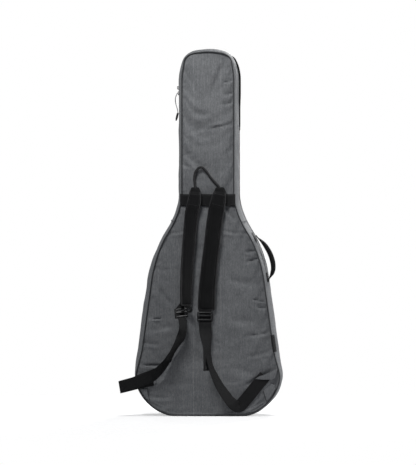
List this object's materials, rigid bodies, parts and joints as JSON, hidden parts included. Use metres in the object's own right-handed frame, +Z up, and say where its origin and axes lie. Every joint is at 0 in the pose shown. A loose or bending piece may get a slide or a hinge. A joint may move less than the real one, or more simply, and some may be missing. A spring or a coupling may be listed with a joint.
{
  "type": "padded gig bag",
  "caption": "Padded soft case for an acoustic guitar, with a zipped hinged lid, padded shoulder straps with ladder-lock buckles, a side handle and a haul loop.",
  "frame": {"origin": "on the flat base, on the bag's centre line seen from behind", "axes": "+Z up along the neck, +Y towards the front panel (the lid), +X to the right as the strap side is looked at"},
  "size_m": [0.4956, 0.2239, 1.13],
  "materials": {
    "heather_cloth": "heather grey woven polyester",
    "foam": "dark closed-cell foam",
    "plush": "short-pile lining",
    "trim": "dark piping and binding",
    "webbing": "black woven webbing",
    "strap_pad": "black padded strap cloth",
    "pull_cord": "light grey cord",
    "black_plastic": "moulded black",
    "zip_metal": "gunmetal"
  },
  "bodies": {
    "shell": {"back_cover": "heather_cloth", "back_foam": "foam", "back_lining": "plush", "rear_gusset_body": "heather_cloth", "rear_gusset_neck": "heather_cloth", "rear_gusset_foam": "foam", "rear_gusset_lining": "plush", "back_piping": "trim", "zip_tape_shell": "trim", "zip_teeth_shell": "black_plastic", "hinge_cloth_shell": "trim", "strap_anchor_band": "webbing", "strap_cuff_left": "strap_pad", "strap_cuff_right": "strap_pad", "wing_left": "heather_cloth", "wing_right": "heather_cloth", "anchor_webbing_left": "webbing", "anchor_webbing_right": "webbing", "lower_webbing_left": "webbing", "lower_webbing_right": "webbing", "handle_tab_upper": "webbing", "handle_tab_lower": "webbing", "side_tag": "webbing", "base_block": "foam", "neck_rest": "plush", "neck_strap_hook": "webbing"},
    "lid": {"lid_cover": "heather_cloth", "lid_foam": "foam", "lid_lining": "plush", "front_gusset": "heather_cloth", "front_gusset_foam": "foam", "front_gusset_lining": "plush", "front_piping": "trim", "zip_tape_lid": "trim", "zip_teeth_lid": "black_plastic", "hinge_cloth_lid": "trim", "body_pocket": "heather_cloth", "body_pocket_zip": "trim", "head_pocket": "heather_cloth", "head_pocket_zip": "trim"},
    "lower_slider": {"zip_slider_lower": "zip_metal"},
    "lower_pull": {"zip_pull_cord": "pull_cord", "zip_pull_grip": "black_plastic"},
    "upper_slider": {"zip_slider_upper": "zip_metal"},
    "upper_pull": {"zip_pull_tab": "zip_metal"},
    "body_zip_slider": {"body_pocket_slider": "zip_metal"},
    "body_zip_pull": {"body_pocket_pull": "zip_metal"},
    "head_zip_slider": {"head_pocket_slider": "zip_metal"},
    "head_zip_pull": {"head_pocket_pull": "zip_metal"},
    "strap_left": {"shoulder_strap_left": "strap_pad", "strap_keeper_left": "webbing"},
    "adjuster_left": {"buckle_left": "black_plastic", "webbing_tail_left": "webbing"},
    "strap_right": {"shoulder_strap_right": "strap_pad", "strap_keeper_right": "webbing"},
    "adjuster_right": {"buckle_right": "black_plastic", "webbing_tail_right": "webbing"},
    "top_loop": {"haul_loop": "webbing"},
    "carry_handle": {"side_handle": "strap_pad"},
    "neck_tie": {"neck_strap": "webbing"}
  },
  "joints": [
    {"name": "lid_hinge", "type": "hinge", "parent": "shell", "child": "lid", "pos_m": [0.223, 0.03123, 0.142], "axis": [0.1364, 0.0263, -0.9903], "range_deg": [0, 120]},
    {"name": "lower_slider_run", "type": "slide", "parent": "shell", "child": "lower_slider", "axis": [0, 0.0265, -0.9996], "range_m": [0, 0.2]},
    {"name": "lower_pull_swing", "type": "hinge", "parent": "lower_slider", "child": "lower_pull", "pos_m": [-0.0989, 0.00856, 0.996], "axis": [0, 1, 0], "range_deg": [0, 90]},
    {"name": "upper_slider_run", "type": "slide", "parent": "shell", "child": "upper_slider", "axis": [0, -0.0265, 0.9996], "range_m": [0, 0.015]},
    {"name": "upper_pull_swing", "type": "hinge", "parent": "upper_slider", "child": "upper_pull", "pos_m": [-0.0989, 0.00813, 1.0175], "axis": [0, 1, 0], "range_deg": [0, 120]},
    {"name": "body_zip_run", "type": "slide", "parent": "lid", "child": "body_zip_slider", "axis": [1, 0, 0], "range_m": [0, 0.284]},
    {"name": "body_pull_swing", "type": "hinge", "parent": "body_zip_slider", "child": "body_zip_pull", "pos_m": [-0.142, 0.0731, 0.4255], "axis": [1, 0, 0], "range_deg": [0, 120]},
    {"name": "head_zip_run", "type": "slide", "parent": "lid", "child": "head_zip_slider", "axis": [1, 0, 0], "range_m": [0, 0.116]},
    {"name": "head_pull_swing", "type": "hinge", "parent": "head_zip_slider", "child": "head_zip_pull", "pos_m": [-0.058, 0.0439, 1.0255], "axis": [1, 0, 0], "range_deg": [0, 120]},
    {"name": "strap_left_swing", "type": "hinge", "parent": "shell", "child": "strap_left", "pos_m": [-0.044, -0.093, 0.641], "axis": [-1, 0, 0], "range_deg": [0, 35]},
    {"name": "adjuster_left_tilt", "type": "hinge", "parent": "strap_left", "child": "adjuster_left", "pos_m": [-0.0713, -0.0949, 0.3361], "axis": [-0.8916, -0.3255, 0.3147], "range_deg": [0, 20]},
    {"name": "strap_right_swing", "type": "hinge", "parent": "shell", "child": "strap_right", "pos_m": [0.03, -0.093, 0.641], "axis": [-1, 0, 0], "range_deg": [0, 35]},
    {"name": "adjuster_right_tilt", "type": "hinge", "parent": "strap_right", "child": "adjuster_right", "pos_m": [-0.0075, -0.088, 0.321], "axis": [-1, 0, 0], "range_deg": [0, 20]},
    {"name": "top_loop_swing", "type": "hinge", "parent": "shell", "child": "top_loop", "pos_m": [-0.003, -0.088, 0.7], "axis": [1, 0, 0], "range_deg": [0, 90]},
    {"name": "carry_handle_swing", "type": "hinge", "parent": "shell", "child": "carry_handle", "pos_m": [0.153, -0.036, 0.547], "axis": [0.296, 0, -0.9552], "range_deg": [-50, 50]},
    {"name": "neck_tie_swing", "type": "hinge", "parent": "shell", "child": "neck_tie", "pos_m": [-0.042, -0.0296, 0.83], "axis": [0, 0, 1], "range_deg": [0, 35]}
  ]
}
